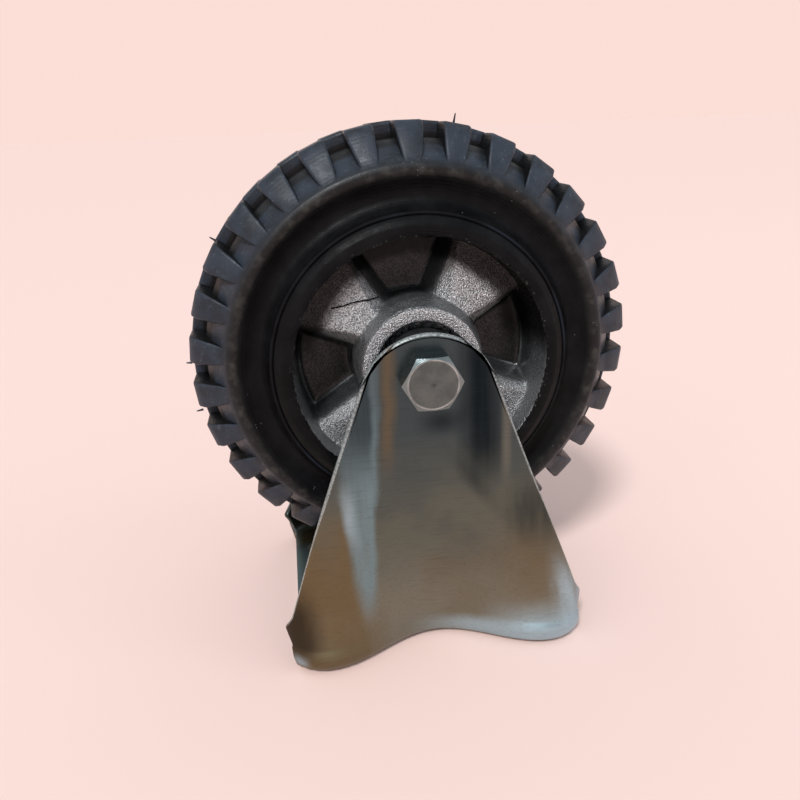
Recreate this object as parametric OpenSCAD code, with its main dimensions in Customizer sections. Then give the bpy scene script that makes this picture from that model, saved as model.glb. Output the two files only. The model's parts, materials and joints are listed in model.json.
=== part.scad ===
// Fixed plate castor: a lugged solid rubber tyre on a cast wheel centre with two sealed
// ball bearings, on a bolt through a one-piece pressed steel bracket.
// The part stands on its mounting face, as it does on a bench, with the wheel on top.
// X is the rolling direction, Y runs along the axle and Z points from the plate to the wheel.
// All lengths are in millimetres.

/* [Tyre] */
// Outside diameter over the lugs
tyre_od = 160; // [150:1:180]
// Depth of the tread grooves between the lugs
lug_depth = 5.5; // [3:0.5:7]
// Lugs in each of the two rows
lug_count = 30; // [24:1:34]
// How far the lugs of the two rows lap each other around the tread
lug_lap = 1.6; // [0.8:0.2:3]
// Length of a lug around the ridge
lug_foot_l = 4.6; // [3:0.2:6]
// Width of the flat tread
tread_w = 21; // [18:1:24]
// Width over the rounded ridges below the lugs
ridge_w = 41; // [38:1:44]
// Distance from the tread down to the middle of the ridge
ridge_drop = 15; // [14:0.5:16]
// Radius of the ridge's round top
ridge_r = 3.2; // [2.4:0.1:3.6]
// Thickness of the rubber that covers the edge of the wheel centre
bead_t = 1.2; // [0.8:0.1:2]
// Distance from the bond with the rim out to the fine ring line on the sidewall
ring_out = 3.3; // [2.5:0.1:4.5]
// Radius of the fine ring line
ring_bead_r = 0.6; // [0.4:0.1:0.8]

/* [Wheel centre] */
// Width of the cast rim between its edges
rim_w = 49.6; // [46:0.2:52]
// Inside radius of the rim at its edges
rim_edge_r = 45; // [43:0.5:47]
// Wall of the rim at its edges
rim_wall = 3.5; // [2.5:0.1:5]
// How far the inside of the rim narrows from its edge to the web
rim_draft = 2.4; // [1:0.2:4]
// Thickness of the web that closes the pockets between the spokes
web_t = 6; // [4:0.5:10]
// Number of spokes
spoke_count = 4; // [4:1:5]
// Width of a spoke where it leaves the hub, below its crown
spoke_root_w = 17.5; // [14:0.5:19]
// Flare of each side of a spoke towards the rim, in degrees
spoke_flare = 17; // [8:1:18]
// Draft of the spoke's sides from the crown down to the web, in degrees
spoke_draft = 18; // [8:1:20]
// Slope of the sides of the spoke's crown, in degrees
crown_slope = 46; // [35:1:55]
// Thickness of a spoke at the hub
spoke_hub_t = 38; // [30:1:40]
// Thickness of a spoke at the rim
spoke_rim_t = 30; // [22:1:34]
// Turn of the first spoke from the rolling direction, in degrees
spoke_turn = 51; // [0:1:90]
// How far the ends of the hub stand out of the tyre's beads
hub_out = 0.4; // [0:0.2:3]
// Radius of the hub at its ends
hub_r = 21; // [20:0.5:22]
// Widening of the hub from its ends to the middle
hub_draft = 2; // [1:0.5:3]

/* [Bearings] */
// Bore of the ball bearings and size of the axle bolt
bearing_bore = 12; // [10:1:14]
// Outside diameter of the ball bearings
bearing_od = 32; // [30:1:34]
// Width of one ball bearing
bearing_w = 10; // [9:0.5:11]
// Balls in one bearing
ball_count = 7; // [6:1:7]
// Distance from the hub's end down to the bearing
bearing_recess = 0.3; // [0.2:0.1:1]
// Length of the collars between the bearings and the legs
collar_l = 8.4; // [6:0.2:12]

/* [Bracket] */
// Thickness of the pressed sheet
sheet_t = 3; // [2.5:0.1:4]
// Free height between the plate and the tread
tread_gap = 22; // [18:1:40]
// Distance between the corners of a leg in the rolling direction
corner_l = 113; // [108:1:118]
// Height of the corners of a leg
corner_h = 15.5; // [14:0.5:20]
// How far the corners stand out from the straight edges of a leg
corner_out = 3; // [1:0.5:4]
// Radius of the leg's round end
leg_end_r = 24; // [22:0.5:26]
// Distance from the axle down to the centre of the leg's round end
leg_end_drop = 9; // [7:0.5:11]
// Length of the plate at its foot in the rolling direction
plate_l = 103; // [100:1:106]
// Outside radius of the bend between leg and plate
bend_r = 6; // [5:0.5:7]
// How far the lobes at the plate's corners stand out from the legs
lobe_out = 14; // [10:0.5:15]
// Distance of the lobes from the middle of the plate
lobe_x = 41; // [39:0.5:43]
// Radius of the lobes' round ends, seen from above
lobe_end_r = 17; // [16.5:0.5:20]
// Distance from the axle down to where the legs start to flare
flare_drop = 20; // [12:1:30]
// Distance from the plate's ends to the middle of the bolt slots
slot_edge = 11.5; // [10:0.5:15]
// Distance between the bolt slots along the axle
slot_y = 60; // [50:1:62]
// Width of a bolt slot
slot_w = 9; // [7:0.5:10]
// Length of a bolt slot
slot_l = 13; // [11:0.5:15]

/* [Axle] */
// Width of the bolt head and the nut across their flats
hex_af = 18; // [16:1:20]
// Thickness of the bolt head
head_t = 7.5; // [6:0.5:9]
// Thickness of the lock nut
nut_t = 12; // [10:0.5:14]
// Thickness of the washer under the nut
washer_t = 2.5; // [1.5:0.5:3]
// Length of bolt that stands out of the nut
bolt_out = 2; // [1:0.5:5]

/* [Hidden] */
$fn = 64;

// Sides of the wheel along its own axis
front = 1;
rear = -1;
// Small overlap that lets a cut run past a face
past = 1;
// Far enough to cross the whole part
far = 400;

// Fits and clearances
hole_clear = 0.25;
collar_clear = 0.1;
ring_clear = 0.05;
race_clear = 0.05;
pocket_clear = 0.1;
seal_clear = 0.25;
spacer_clear = 0.2;

// Places along the axle, measured from the middle of the wheel
hub_w = rim_w + 2 * (bead_t + hub_out);
bearing_out = hub_w / 2 - bearing_recess;
bearing_mid = bearing_out - bearing_w / 2;
bearing_in = bearing_out - bearing_w;
leg_in = bearing_out + collar_l;
leg_y = leg_in + sheet_t;

// Heights above the mounting face
axle_z = sheet_t + tread_gap + tyre_od / 2;
leg_end_z = axle_z - leg_end_drop;
flare_z = axle_z - flare_drop;

// Tyre profile, with radii from the axle and z from the wheel's middle
tread_r = tyre_od / 2;
groove_r = tread_r - lug_depth;
ridge_mid_r = tread_r - ridge_drop;
ridge_mid_z = ridge_w / 2 - ridge_r;
bond_r = rim_edge_r + rim_wall;
bead_z = rim_w / 2 + bead_t;
// Edge of the groove floor and the slope from it to the ridge
floor_edge = 3;
floor_z = tread_w / 2 - floor_edge;
floor_slope_drop = 1;
floor_slope_in = 0.5;
floor_slope_z = tread_w / 2 - floor_slope_in;
// Where the slope from the groove floor and the hollow of the sidewall leave the ridge's round top
slope_turn = 36;
hollow_turn = 125;
// Ring line and the bead inside it
ring_line_in = 2.6;
ring_line_r = bond_r + ring_out;
ring_line_z = bead_z - ring_line_in;
bead_round = 0.4;
// Reach of the hollow's curve from the ridge and from the ring line
hollow_lead = 6.5;
hollow_foot_out = 2.8;
hollow_foot_in = 7.8;
hollow_steps = 10;
// Lugs
shoulder_out = 3;
shoulder_z = tread_w / 2 + shoulder_out;
shoulder_drop = 2.4;
lug_root = 1.2;
lug_foot_up = 1;
lug_foot_r = ridge_mid_r + lug_foot_up;
lug_foot_in = 0.5;
half_turn = 180 / lug_count;

// Wheel centre
rim_web_r = rim_edge_r - rim_draft;
web_z = web_t / 2;
spoke_rim_z = spoke_rim_t / 2;
spoke_hub_z = spoke_hub_t / 2;
crown_drop = 1;
crown_z = spoke_rim_z - crown_drop;
hub_root_r = hub_r + hub_draft;
bearing_shoulder = 2.5;
hub_bore_r = bearing_od / 2 - bearing_shoulder;

// Bearing
bore_r = bearing_bore / 2;
seat_r = bearing_od / 2;
pitch_r = (bore_r + seat_r) / 2;
// Share of the space between bore and seat that a ball takes
ball_share = 0.298;
ball_r = ball_share * (seat_r - bore_r);
// Depths of the races, cage and claws as shares of a ball's radius
land_in_share = 0.62;
land_out_share = 0.68;
cage_wall_share = 0.28;
cage_back_share = 1.22;
cage_claw_share = 0.5;
land_in_r = pitch_r - land_in_share * ball_r;
land_out_r = pitch_r + land_out_share * ball_r;
seal_step = 1.1;
seal_seat_r = land_out_r + seal_step;
seal_t = 0.9;
seal_inset = 0.3;
cage_half_t = cage_wall_share * ball_r;
cage_back = cage_back_share * ball_r;
cage_claw = cage_claw_share * ball_r;

// Axle
bolt_r = bore_r - ring_clear;
collar_step = 0.2;
collar_r = land_in_r - collar_step;
hex_r = hex_af / 2 / cos(30);
chamfer_share = 0.95;
chamfer_r = chamfer_share * hex_af / 2;
washer_share = 0.66;
washer_r = washer_share * hex_af;
bolt_end = leg_y + washer_t + nut_t + bolt_out;
tip_chamfer = 1.2;
insert_t = 2.2;
insert_wall = 1.5;

// Colours
zinc = [0.66, 0.67, 0.66];
cast_aluminium = [0.62, 0.62, 0.63];
black_rubber = [0.09, 0.09, 0.1];
bearing_steel = [0.7, 0.71, 0.73];
nylon = [0.85, 0.82, 0.72];

// Places children that are drawn about the Z axis on the axle, with +Z turned to the front
module on_axle() {
    translate([0, 0, axle_z])
        rotate([90, 0, 0])
            children();
}

// Turned ring between two radii and two places along its axis
module ring(inner_r, outer_r, z0, z1) {
    rotate_extrude()
        translate([inner_r, z0])
            square([outer_r - inner_r, z1 - z0]);
}

// Half a profile and its mirror image, as one outline
function both_sides(half) =
    concat(half, [for (i = [len(half) - 1 : -1 : 0]) [half[i][0], -half[i][1]]]);

// Tyre

// Point of the ridge's round top at an angle from the radius
function on_ridge(a) = [ridge_mid_r + ridge_r * cos(a), ridge_mid_z + ridge_r * sin(a)];

// Curve through two end points that leaves them towards two guide points
function curve(start, lead, foot, end, steps) = [for (i = [0 : steps])
    let (t = i / steps, u = 1 - t)
    u * u * u * start + 3 * u * u * t * lead + 3 * u * t * t * foot + t * t * t * end];

// Hollow of the sidewall from the ridge to the ring line
ring_line = [ring_line_r, ring_line_z];
hollow_start = on_ridge(hollow_turn);
hollow = curve(hollow_start,
               hollow_start + hollow_lead * [-sin(hollow_turn), cos(hollow_turn)],
               ring_line + [hollow_foot_out, -hollow_foot_in],
               ring_line, hollow_steps);

// Carcass without lugs, from the tread's middle over the sidewall to the bond with the rim
function carcass_half() = concat(
    [[groove_r, 0],
     [groove_r, floor_z],
     [groove_r - floor_slope_drop, floor_slope_z],
     on_ridge(slope_turn),
     [ridge_mid_r, ridge_mid_z]],
    hollow,
    [[bond_r, bead_z - bead_round],
     [bond_r - bead_round, bead_z],
     [rim_edge_r, bead_z],
     [rim_edge_r, rim_w / 2],
     [bond_r, rim_w / 2],
     [bond_r, 0]]);

module carcass() {
    rotate_extrude() {
        polygon(both_sides(carcass_half()));
        for (side = [front, rear]) {
            translate([ridge_mid_r, side * ridge_mid_z])
                circle(r = ridge_r);
            translate([ring_line_r, side * ring_line_z])
                circle(r = ring_bead_r);
        }
    }
}

// Outline of one row of lugs from the middle of the tread to the ridge
function lug_half() = [
    [groove_r - lug_root, 0],
    [tread_r, 0],
    [tread_r, tread_w / 2],
    [tread_r - shoulder_drop, shoulder_z],
    [lug_foot_r, ridge_w / 2 - lug_foot_in],
    [lug_foot_r, ridge_mid_z - lug_root],
    [groove_r - floor_slope_drop - lug_root, floor_z],
];

// Half the length of a groove at a radius where the lugs of the two rows lap each other
function half_groove(r) = (r * PI * half_turn / 180 - lug_lap) / 2;

module groove_cut() {
    low = ridge_mid_r * PI * half_turn / 180 - lug_foot_l / 2;
    floor = half_groove(groove_r);
    top_r = tread_r + past;
    top = half_groove(top_r);
    translate([0, 0, -past])
        linear_extrude(ridge_w)
            polygon([[ridge_mid_r, -low], [groove_r, -floor], [top_r, -top],
                     [top_r, top], [groove_r, floor], [ridge_mid_r, low]]);
}

module lug_row(turn) {
    difference() {
        rotate_extrude()
            polygon(lug_half());
        for (i = [0 : lug_count - 1])
            rotate([0, 0, turn + i * 2 * half_turn])
                groove_cut();
    }
}

module tyre() {
    color(black_rubber)
        on_axle()
            union() {
                carcass();
                lug_row(0);
                mirror([0, 0, 1])
                    lug_row(half_turn);
            }
}

// Wheel centre

function rim_half() = [
    [bond_r, 0],
    [bond_r, rim_w / 2],
    [rim_edge_r, rim_w / 2],
    [rim_web_r, web_z],
    [rim_web_r, 0],
];

function hub_half() = [
    [hub_bore_r, 0],
    [hub_bore_r, hub_w / 2],
    [hub_r, hub_w / 2],
    [hub_root_r, spoke_hub_z],
    [hub_root_r, 0],
];

function spoke_half() = [
    [hub_r, 0],
    [hub_r, spoke_hub_z],
    [bond_r - rim_wall / 2, spoke_rim_z],
    [bond_r - rim_wall / 2, 0],
];

// Half space beside one wall of a spoke that points along X, leaning in from below the crown
module spoke_wall(side, half, lean) {
    translate([hub_r, side * spoke_root_w / 2, half * crown_z])
        rotate([0, 0, side * spoke_flare])
            rotate([side * half * lean, 0, 0])
                translate([-far / 2, side > 0 ? -far : 0, -far / 2])
                    cube(far);
}

module spoke() {
    intersection() {
        rotate_extrude()
            polygon(both_sides(spoke_half()));
        spoke_wall(1, front, spoke_draft);
        spoke_wall(1, rear, spoke_draft);
        spoke_wall(-1, front, spoke_draft);
        spoke_wall(-1, rear, spoke_draft);
        spoke_wall(1, front, crown_slope);
        spoke_wall(1, rear, crown_slope);
        spoke_wall(-1, front, crown_slope);
        spoke_wall(-1, rear, crown_slope);
        translate([0, -far / 2, -far / 2])
            cube(far);
    }
}

module wheel_centre() {
    color(cast_aluminium)
        on_axle()
            difference() {
                union() {
                    rotate_extrude()
                        polygon(both_sides(rim_half()));
                    rotate_extrude()
                        polygon(both_sides(hub_half()));
                    ring(hub_r, rim_web_r + past, -web_z, web_z);
                    for (i = [0 : spoke_count - 1])
                        rotate([0, 0, spoke_turn + i * 360 / spoke_count])
                            spoke();
                }
                for (side = [0, 1])
                    mirror([0, 0, side])
                        translate([0, 0, bearing_in])
                            cylinder(r = seat_r, h = hub_w);
            }
}

// Bearings

// Places children that are drawn about a bearing's middle
module at_bearing(side) {
    on_axle()
        translate([0, 0, side * bearing_mid])
            children();
}

module race_groove() {
    rotate_extrude()
        translate([pitch_r, 0])
            circle(r = ball_r + race_clear);
}

module inner_ring(side) {
    color(bearing_steel)
        at_bearing(side)
            difference() {
                ring(bore_r, land_in_r, -bearing_w / 2, bearing_w / 2);
                race_groove();
            }
}

module outer_ring(side) {
    seal_room = seal_inset + seal_t;
    color(bearing_steel)
        at_bearing(side)
            difference() {
                ring(land_out_r, seat_r, -bearing_w / 2, bearing_w / 2);
                race_groove();
                for (end = [0, 1])
                    mirror([0, 0, end])
                        translate([0, 0, bearing_w / 2 - seal_room])
                            cylinder(r = seal_seat_r, h = seal_room + past);
            }
}

module balls(side) {
    color(bearing_steel)
        at_bearing(side)
            for (i = [0 : ball_count - 1])
                rotate([0, 0, i * 360 / ball_count])
                    translate([pitch_r, 0, 0])
                        sphere(r = ball_r);
}

module cage(side) {
    color(nylon)
        at_bearing(side)
            mirror([0, 0, side > 0 ? 0 : 1])
                difference() {
                    ring(pitch_r - cage_half_t, pitch_r + cage_half_t, -cage_back, cage_claw);
                    for (i = [0 : ball_count - 1])
                        rotate([0, 0, i * 360 / ball_count])
                            translate([pitch_r, 0, 0])
                                sphere(r = ball_r + pocket_clear);
                }
}

// Seal at the end of a bearing that faces out of the wheel or into it
module seal(side, facing) {
    outside = bearing_w / 2 - seal_inset;
    color(black_rubber)
        at_bearing(side)
            mirror([0, 0, side * facing > 0 ? 0 : 1])
                ring(land_in_r + seal_clear, seal_seat_r, outside - seal_t, outside);
}

// Axle

module collar(side) {
    color(zinc)
        on_axle()
            mirror([0, 0, side > 0 ? 0 : 1])
                ring(bore_r + collar_clear, collar_r, bearing_out, leg_in);
}

module bearing_spacer() {
    color(zinc)
        on_axle()
            ring(bore_r + spacer_clear, collar_r, -bearing_in, bearing_in);
}

// Hexagon with its outer corners turned off, from z = 0 up
module hex_body(h) {
    drop = (hex_r - chamfer_r) * tan(30);
    intersection() {
        cylinder(r = hex_r, h = h, $fn = 6);
        rotate_extrude()
            polygon([[0, 0], [hex_r + past, 0], [hex_r + past, h - drop - past * tan(30)],
                     [chamfer_r, h], [0, h]]);
    }
}

module axle_bolt() {
    shank = leg_y + bolt_end;
    color(zinc)
        on_axle()
            union() {
                translate([0, 0, leg_y])
                    hex_body(head_t);
                translate([0, 0, -bolt_end])
                    rotate_extrude()
                        polygon([[0, 0], [bolt_r - tip_chamfer, 0], [bolt_r, tip_chamfer],
                                 [bolt_r, shank + past], [0, shank + past]]);
            }
}

// Places children that are drawn from the rear leg outwards
module behind_rear_leg(gap) {
    on_axle()
        mirror([0, 0, 1])
            translate([0, 0, leg_y + gap])
                children();
}

module nut_washer() {
    color(zinc)
        behind_rear_leg(0)
            ring(bolt_r + hole_clear, washer_r, 0, washer_t);
}

module axle_nut() {
    color(zinc)
        behind_rear_leg(washer_t)
            difference() {
                hex_body(nut_t);
                translate([0, 0, -past])
                    cylinder(r = bolt_r + ring_clear, h = nut_t + 2 * past);
                translate([0, 0, nut_t - insert_t])
                    cylinder(r = bolt_r + insert_wall, h = insert_t + past);
            }
}

module nut_insert() {
    color(nylon)
        behind_rear_leg(washer_t + nut_t - insert_t)
            ring(bolt_r + ring_clear, bolt_r + insert_wall, 0, insert_t - ring_clear);
}

// Bracket

// How far the lobes push the foot of a leg outwards at a distance from the middle
function lobe(x) =
    abs(x) < lobe_x
        ? lobe_out * pow(sin(90 * abs(x) / lobe_x), 2)
        : lobe_out - lobe_end_r + sqrt(pow(lobe_end_r, 2) - pow(abs(x) - lobe_x, 2));

// Outer face of the front leg at a distance from the middle and a height, down to the bend
flare_power = 2.5;
function flare(z) = pow(max(0, flare_z - z) / (flare_z - bend_r), flare_power);
function wall(x, z) = [x, -leg_y - lobe(x) * flare(z), z];

// Outer face of the bend below the front leg, by its share from the leg to the plate
function foot_lean(x) = atan(flare_power * lobe(x) / (flare_z - bend_r));
function bend(x, share) =
    let (
        lean = foot_lean(x),
        a = lean - (lean + 90) * share,
        mid_y = leg_y + lobe(x) - bend_r * cos(lean)
    )
    [x, -mid_y - bend_r * cos(a), bend_r + bend_r * sin(a)];

// Half widths of a leg from its round end down to its corners, as [half width, height]
corner_x = corner_l / 2;
edge_x = corner_x - corner_out;
corner_slope = 1.6;
edge_h = corner_h + corner_slope * corner_out;
edge_rise = leg_end_z - edge_h;
edge_span = sqrt(edge_x * edge_x + edge_rise * edge_rise);
edge_turn = acos(leg_end_r / edge_span) - atan(edge_rise / edge_x);
end_steps = 14;
edge_steps = 10;
top_turn = 84;
round_end = [for (i = [0 : end_steps])
    let (a = top_turn + (edge_turn - top_turn) * i / end_steps)
    [leg_end_r * cos(a), leg_end_z + leg_end_r * sin(a)]];
edge = [for (i = [1 : edge_steps])
    round_end[end_steps] + ([edge_x, edge_h] - round_end[end_steps]) * i / edge_steps];
foot_steps = 3;
foot_x = (corner_x + plate_l / 2) / 2;
foot_top = bend_r + corner_out;
foot = [for (i = [0 : foot_steps])
    [corner_x, corner_h] + ([foot_x, foot_top] - [corner_x, corner_h]) * i / foot_steps];
leg_rows = concat(round_end, edge, foot);

// Rows of points on the outer face, from the front leg's top over the plate to the rear leg's top
columns = 27;
bend_steps = 6;
function across(half) = [for (c = [0 : columns - 1]) half * (2 * c / (columns - 1) - 1)];
front_face = concat(
    [for (row = leg_rows) [for (x = across(row[0])) wall(x, row[1])]],
    [for (i = [0 : bend_steps])
        let (share = i / bend_steps)
        [for (x = across(foot_x + (plate_l / 2 - foot_x) * share)) bend(x, share)]]
);
face = concat(front_face,
    [for (r = [len(front_face) - 1 : -1 : 0]) [for (p = front_face[r]) [p[0], -p[1], p[2]]]]);

// Point of the sheet's inner face behind a point of its outer face
function unit(v) = v / norm(v);
function inner_point(r, c) =
    let (
        down = face[min(r + 1, len(face) - 1)][c] - face[max(r - 1, 0)][c],
        along = face[r][min(c + 1, columns - 1)] - face[r][max(c - 1, 0)]
    )
    face[r][c] - sheet_t * unit(cross(down, along));

// Both legs and the plate, as one pressed sheet of even thickness
module pressed_sheet() {
    rows = len(face);
    outer = [for (row = face) each row];
    inner = [for (r = [0 : rows - 1], c = [0 : columns - 1]) inner_point(r, c)];
    back = len(outer);
    last = columns - 1;
    end = rows - 1;
    function at(r, c) = r * columns + c;
    skin = [for (r = [0 : end - 1], c = [0 : last - 1])
        [at(r, c), at(r, c + 1), at(r + 1, c + 1), at(r + 1, c)]];
    lining = [for (f = skin) [for (i = [3 : -1 : 0]) f[i] + back]];
    tops = [for (c = [0 : last - 1]) each [
        [at(0, c), at(0, c) + back, at(0, c + 1) + back, at(0, c + 1)],
        [at(end, c), at(end, c + 1), at(end, c + 1) + back, at(end, c) + back]]];
    sides = [for (r = [0 : end - 1]) each [
        [at(r, 0), at(r + 1, 0), at(r + 1, 0) + back, at(r, 0) + back],
        [at(r, last), at(r, last) + back, at(r + 1, last) + back, at(r + 1, last)]]];
    polyhedron(concat(outer, inner), concat(skin, lining, tops, sides));
}

slot_x = plate_l - 2 * slot_edge;

module bolt_slot() {
    straight = slot_l - slot_w;
    for (end = [-1, 1])
        translate([end * straight / 2, 0, -past])
            cylinder(d = slot_w, h = sheet_t + 2 * past);
    translate([-straight / 2, -slot_w / 2, -past])
        cube([straight, slot_w, sheet_t + 2 * past]);
}

module fork_bracket() {
    color(zinc)
        difference() {
            pressed_sheet();
            on_axle()
                translate([0, 0, -far / 2])
                    cylinder(r = bolt_r + hole_clear, h = far);
            for (x = [-1, 1], y = [-1, 1])
                translate([x * slot_x / 2, y * slot_y / 2, 0])
                    bolt_slot();
        }
}

fork_bracket();
tyre();
wheel_centre();
axle_bolt();
axle_nut();
nut_insert();
nut_washer();
collar(front);  // front_collar
collar(rear);  // rear_collar
bearing_spacer();
inner_ring(front);  // front_inner_ring
outer_ring(front);  // front_outer_ring
balls(front);  // front_balls
cage(front);  // front_cage
seal(front, 1);  // front_outer_seal
seal(front, -1);  // front_inner_seal
inner_ring(rear);  // rear_inner_ring
outer_ring(rear);  // rear_outer_ring
balls(rear);  // rear_balls
cage(rear);  // rear_cage
seal(rear, 1);  // rear_outer_seal
seal(rear, -1);  // rear_inner_seal
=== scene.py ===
import json
import math

import bpy
from mathutils import Matrix, Vector, noise


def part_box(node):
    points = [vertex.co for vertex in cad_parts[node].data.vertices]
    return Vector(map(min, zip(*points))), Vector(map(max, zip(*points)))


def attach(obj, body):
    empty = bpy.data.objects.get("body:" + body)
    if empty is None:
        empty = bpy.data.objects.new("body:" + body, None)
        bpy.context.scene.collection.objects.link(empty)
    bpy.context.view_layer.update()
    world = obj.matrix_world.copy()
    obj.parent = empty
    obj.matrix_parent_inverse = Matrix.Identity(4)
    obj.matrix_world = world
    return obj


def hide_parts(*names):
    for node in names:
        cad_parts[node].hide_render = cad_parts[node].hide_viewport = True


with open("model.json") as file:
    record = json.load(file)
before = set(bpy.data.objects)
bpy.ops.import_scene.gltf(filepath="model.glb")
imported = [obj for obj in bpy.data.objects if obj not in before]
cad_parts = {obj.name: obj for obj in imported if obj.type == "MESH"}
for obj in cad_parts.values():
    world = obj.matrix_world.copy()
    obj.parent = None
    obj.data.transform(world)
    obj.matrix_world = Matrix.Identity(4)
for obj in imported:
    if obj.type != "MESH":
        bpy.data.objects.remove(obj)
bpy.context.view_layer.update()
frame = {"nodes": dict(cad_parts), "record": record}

# Sizes read from the frame, in metres
axle_joint = frame["record"]["behaviour"]["joints"][0]
AXLE_Z = axle_joint["pos_m"][2]
AXLE = Vector((0, 0, AXLE_Z))
TREAD_R = (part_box("tyre")[1][0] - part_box("tyre")[0][0]) / 2
BEAD_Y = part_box("tyre")[1][1]
BOND_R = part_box("wheel_centre")[1][0]
CORNER_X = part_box("fork_bracket")[1][0]
LEG_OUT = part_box("nut_washer")[0][1]
LEG_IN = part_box("rear_collar")[1][1]
SHEET_T = LEG_OUT - LEG_IN

# Fasteners
CHAMFER_R = 0.00855
FASTENER_EDGE = 0.00025

# Camera, set out from the middle of the wheel
CAMERA_AT = Vector((-0.0412, -0.2589, 0.0797))
CAMERA_AZIMUTH = math.radians(7.99)
CAMERA_ELEVATION = math.radians(21.19)
CAMERA_ROLL = math.radians(-2.31)
CAMERA_LENS = 32.4

# Pressed bracket; SHARP_TURN in degrees
LEG_END_R = 0.024
SHOULDER = math.radians(40)
LEG_END_Z = AXLE_Z - 0.009
CORNER_H = 0.0155
CORNER_OUT = 0.003
EDGE_X = CORNER_X - CORNER_OUT
EDGE_H = CORNER_H + 1.6 * CORNER_OUT
PLATE_X = 0.0515
BEND_R = 0.006
FOOT_X = (CORNER_X + PLATE_X) / 2
FOOT_Z = BEND_R + CORNER_OUT
LOBE_OUT = 0.014
LOBE_X = 0.041
LOBE_END_R = 0.017
FLARE_Z = AXLE_Z - 0.020
FLARE_POWER = 2.5
ROLLED_EDGE = 0.0014
BROKEN_EDGE = 0.0004
SHARP_TURN = 50
AXLE_HOLE_R = 0.0062
SLOT_X = 0.040
SLOT_Y = 0.030
SLOT_R = 0.0045
SLOT_STRAIGHT = 0.002

# Tyre; turns in degrees
LUG_COUNT = 30
LUG_DEPTH = 0.0055
LUG_LAP = 0.0016
LUG_FOOT_L = 0.0046
LUG_EDGE = 0.0011
TREAD_HALF = 0.0105
RIDGE_R = TREAD_R - 0.015
RIDGE_ROUND = 0.0032
RIDGE_HALF = 0.0205
RIDGE_Y = RIDGE_HALF - RIDGE_ROUND
RING_R = BOND_R + 0.0033
RING_Y = BEAD_Y - 0.0026
RING_ROUND = 0.0006
SLOPE_TURN = 36
HOLLOW_TURN = 125
HOLLOW_LEAD = 0.0065
HOLLOW_FOOT = Vector((0.0028, -0.0078))
RIM_EDGE_R = 0.045
RIM_EDGE_Y = 0.0248
STRAND_R = 0.0003
# X of the strand's points, and their height above the axle
STRAND = ((-0.0298, 0.0208), (-0.0260, 0.0212), (-0.0225, 0.0223),
          (-0.0191, 0.0227), (-0.0160, 0.0229), (-0.0132, 0.0227))
FLASH_LAP = 0.0012
FLASH_LEAST = 0.0001
FLASH_TORN = 0.0007
FLASH_T = 0.0005
HAIR_FOOT_R = 0.00045
HAIR_TIP_R = 0.0002
HAIR_ROOT = 0.0004
# Turn in degrees, Y and length of each hair
VENT_HAIRS = ((78, -0.004, 0.0036), (146, -0.008, 0.0024),
              (178, -0.008, 0.0020), (191, -0.008, 0.0024))

# Wheel centre
CASTING_GRID = 0.0009

# Floor, backdrop and sky; FLOOR is the colour seen, FLOOR_BOUNCE the one that lights the part
FLOOR = (0.940, 0.702, 0.636)
FLOOR_BOUNCE = (0.28, 0.27, 0.265)
FLOOR_R = 30
WALL_R = 20
WALL_H = 8
BACKDROP = (0.97, 0.74, 0.68)
SKY = 0.62
SKY_COLOUR = (0.90, 0.95, 1.0)


# Small helpers

def clear_selection():
    if bpy.context.object and bpy.context.object.mode != "OBJECT":
        bpy.ops.object.mode_set(mode="OBJECT")
    bpy.ops.object.select_all(action="DESELECT")


def pick(piece):
    clear_selection()
    piece.select_set(True)
    bpy.context.view_layer.objects.active = piece


def apply_modifiers(piece):
    pick(piece)
    for modifier in list(piece.modifiers):
        bpy.ops.object.modifier_apply(modifier=modifier.name)


def settle(piece):
    """Puts the piece's place into its mesh."""
    pick(piece)
    bpy.ops.object.transform_apply(location=True, rotation=True, scale=True)


def close_and_turn_out(piece, gap=1e-6):
    """Merges doubled points and points all faces outwards."""
    pick(piece)
    bpy.ops.object.mode_set(mode="EDIT")
    bpy.ops.mesh.select_all(action="SELECT")
    bpy.ops.mesh.remove_doubles(threshold=gap)
    bpy.ops.mesh.normals_make_consistent(inside=False)
    bpy.ops.object.mode_set(mode="OBJECT")


def smooth(piece, degrees=35):
    pick(piece)
    bpy.ops.object.shade_smooth_by_angle(angle=math.radians(degrees))


def join(pieces, name):
    clear_selection()
    for piece in pieces:
        piece.select_set(True)
    bpy.context.view_layer.objects.active = pieces[0]
    if len(pieces) > 1:
        bpy.ops.object.join()
    pieces[0].name = name
    pieces[0].data.name = name
    return pieces[0]


def cut_away(piece, cutter):
    cut = piece.modifiers.new("cut", "BOOLEAN")
    cut.object = cutter
    cut.operation = "DIFFERENCE"
    cut.solver = "EXACT"
    apply_modifiers(piece)
    bpy.data.objects.remove(cutter, do_unlink=True)


def break_edges(piece, name, width, segments, degrees):
    """Puts a bevel on the edges that turn by more than so many degrees."""
    bevel = piece.modifiers.new(name, "BEVEL")
    bevel.width = width
    bevel.segments = segments
    bevel.limit_method = "ANGLE"
    bevel.angle_limit = math.radians(degrees)
    return bevel


def own_copy(piece):
    """A copy with a mesh of its own."""
    copy = piece.copy()
    copy.data = piece.data.copy()
    bpy.context.collection.objects.link(copy)
    return copy


def turned_about_axle(piece, angle):
    turn = Matrix.Rotation(angle, 4, "Y")
    piece.data.transform(Matrix.Translation(AXLE) @ turn @ Matrix.Translation(-AXLE))


# Material nodes

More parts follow.
